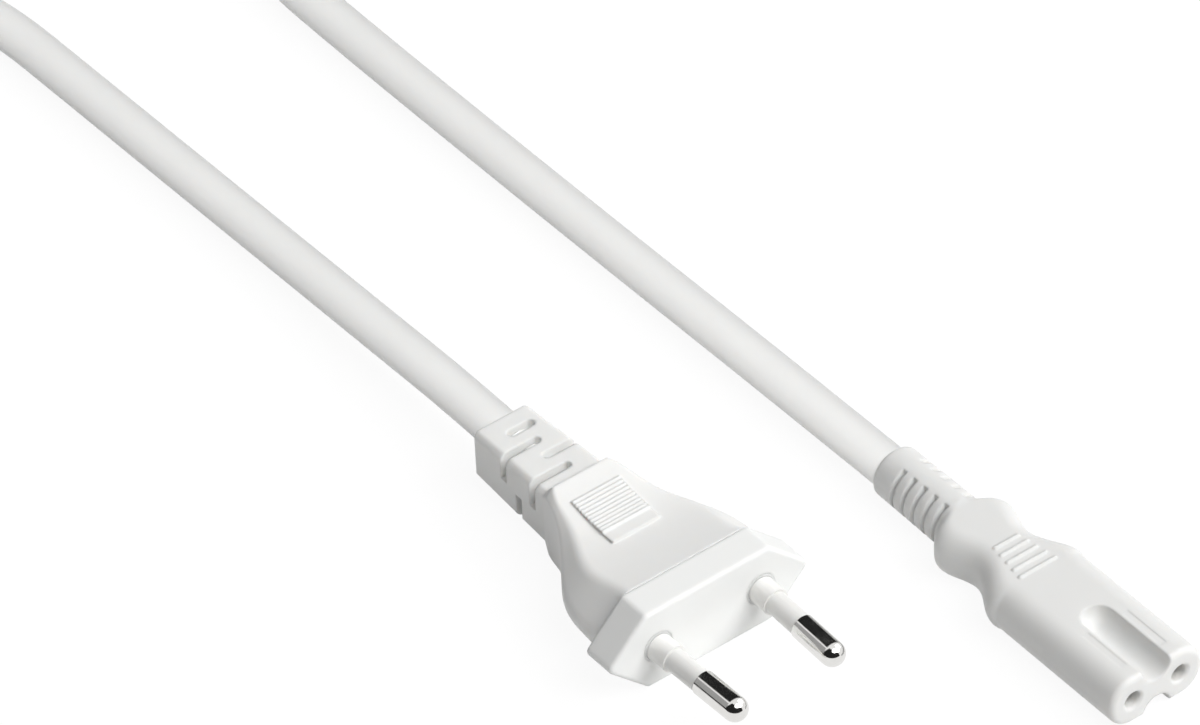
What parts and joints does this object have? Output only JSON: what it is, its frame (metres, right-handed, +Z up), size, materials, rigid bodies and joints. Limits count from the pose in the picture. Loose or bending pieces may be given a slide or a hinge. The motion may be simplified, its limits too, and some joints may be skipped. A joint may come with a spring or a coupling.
{
  "type": "europlug",
  "caption": "Flat two-pin mains plug with sleeved pins, dished ribbed grips and a slotted strain relief, on a round cord that ends in a figure-eight appliance connector.",
  "frame": {"origin": "centre of the bottom of the plug's box, on the surface that the plug lies on, without the cord and its connector", "axes": "+X along the pins towards their tips, +Y across the pins, +Z up from the surface"},
  "size_m": [0.3283, 0.0854, 0.0209],
  "materials": {
    "soft_pvc": "satin moulded soft PVC, light grey white",
    "hard_block": "satin hard plastic, cool white",
    "pin_sleeve": "satin nylon, warm white",
    "pin_metal": "bright nickel plating",
    "jacket": "satin extruded PVC, white",
    "tie_strip": "matte plastic strip, white",
    "core_brown": "satin PVC insulation, brown",
    "core_blue": "satin PVC insulation, blue",
    "copper": "bare stranded copper",
    "contact_metal": "bright stamped brass"
  },
  "bodies": {
    "root": {"plug_moulding": "soft_pvc", "pin_carrier": "hard_block", "left_pin": "pin_metal", "right_pin": "pin_metal", "left_pin_sleeve": "pin_sleeve", "right_pin_sleeve": "pin_sleeve", "plug_live_core": "core_brown", "plug_neutral_core": "core_blue", "plug_live_strands": "copper", "plug_neutral_strands": "copper", "cord_plug_run": "jacket", "cord_coil": "jacket", "cord_connector_run": "jacket", "coil_tie": "tie_strip", "connector_moulding": "soft_pvc", "contact_carrier": "hard_block", "left_socket": "contact_metal", "right_socket": "contact_metal", "connector_live_core": "core_brown", "connector_neutral_core": "core_blue", "connector_live_strands": "copper", "connector_neutral_strands": "copper"}
  },
  "joints": []
}
